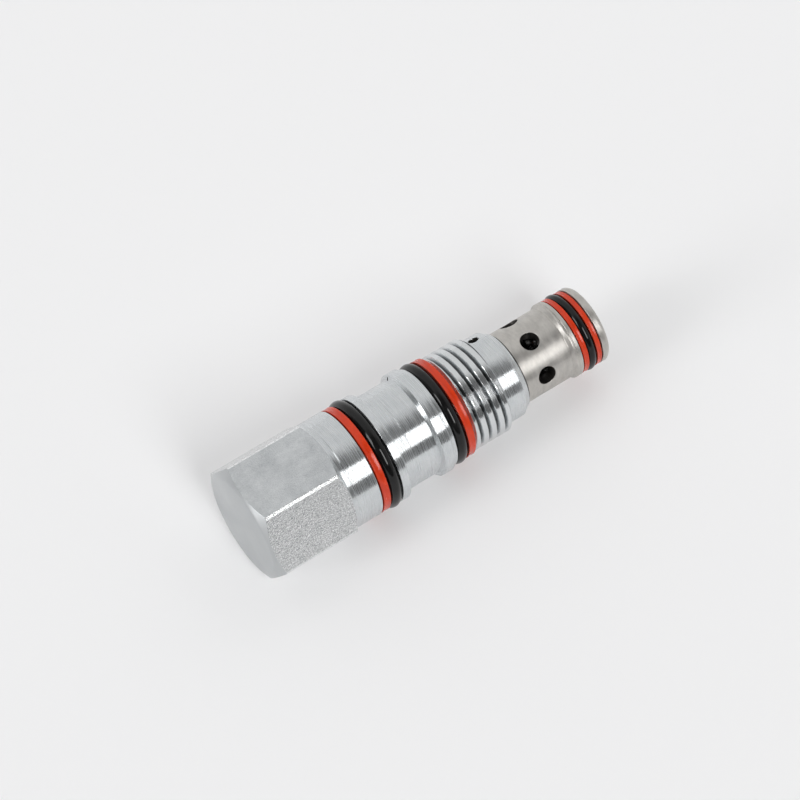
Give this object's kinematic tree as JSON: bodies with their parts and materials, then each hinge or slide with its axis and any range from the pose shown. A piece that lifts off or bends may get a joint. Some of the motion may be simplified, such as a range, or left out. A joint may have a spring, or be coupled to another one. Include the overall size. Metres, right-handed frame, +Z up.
{
  "type": "hydraulic cartridge valve",
  "caption": "Screw-in hydraulic cartridge valve: hex head, sealed lands, thread and a ported sleeve nose, with a spring-closed check poppet that a pilot piston can push open.",
  "frame": {"origin": "centre of the hex end face", "axes": "+X along the cartridge to its nose, +Z up with the valve lying on one hex flat"},
  "size_m": [0.0777, 0.0256, 0.0226],
  "materials": {
    "zinc_plated_steel": "bright zinc plate over fine turning marks",
    "sleeve_steel": "ground satin steel, slightly warm",
    "hardened_steel": "hardened and ground steel",
    "spring_steel": "oiled spring steel",
    "bronze": "bearing bronze",
    "backup_ring": "glossy orange-red thermoplastic",
    "o_ring": "oiled black nitrile",
    "ptfe": "white glide ring"
  },
  "bodies": {
    "cartridge": {"valve_body": "zinc_plated_steel", "sleeve": "sleeve_steel", "head_backup_ring": "backup_ring", "head_o_ring": "o_ring", "middle_o_ring": "o_ring", "middle_backup_ring": "backup_ring", "nose_backup_ring_inner": "backup_ring", "nose_o_ring": "o_ring", "nose_backup_ring_outer": "backup_ring", "sleeve_retaining_ring": "spring_steel", "stem_guide": "bronze", "check_seat": "hardened_steel", "spring_retainer": "hardened_steel", "nose_snap_ring": "spring_steel", "check_spring": "spring_steel"},
    "poppet": {"check_poppet": "hardened_steel"},
    "piston": {"pilot_piston": "hardened_steel", "pilot_stem": "hardened_steel", "piston_o_ring": "o_ring", "piston_backup_ring": "ptfe"}
  },
  "joints": [
    {"name": "poppet_lift", "type": "slide", "parent": "cartridge", "child": "poppet", "axis": [1, 0, 0], "range_m": [0, 0.0016], "stiffness_N_per_m": 2000, "springref_m": -0.004, "deforming": ["check_spring"]},
    {"name": "piston_travel", "type": "slide", "parent": "poppet", "child": "piston", "axis": [1, 0, 0], "range_m": [-0.0016, 0]}
  ]
}
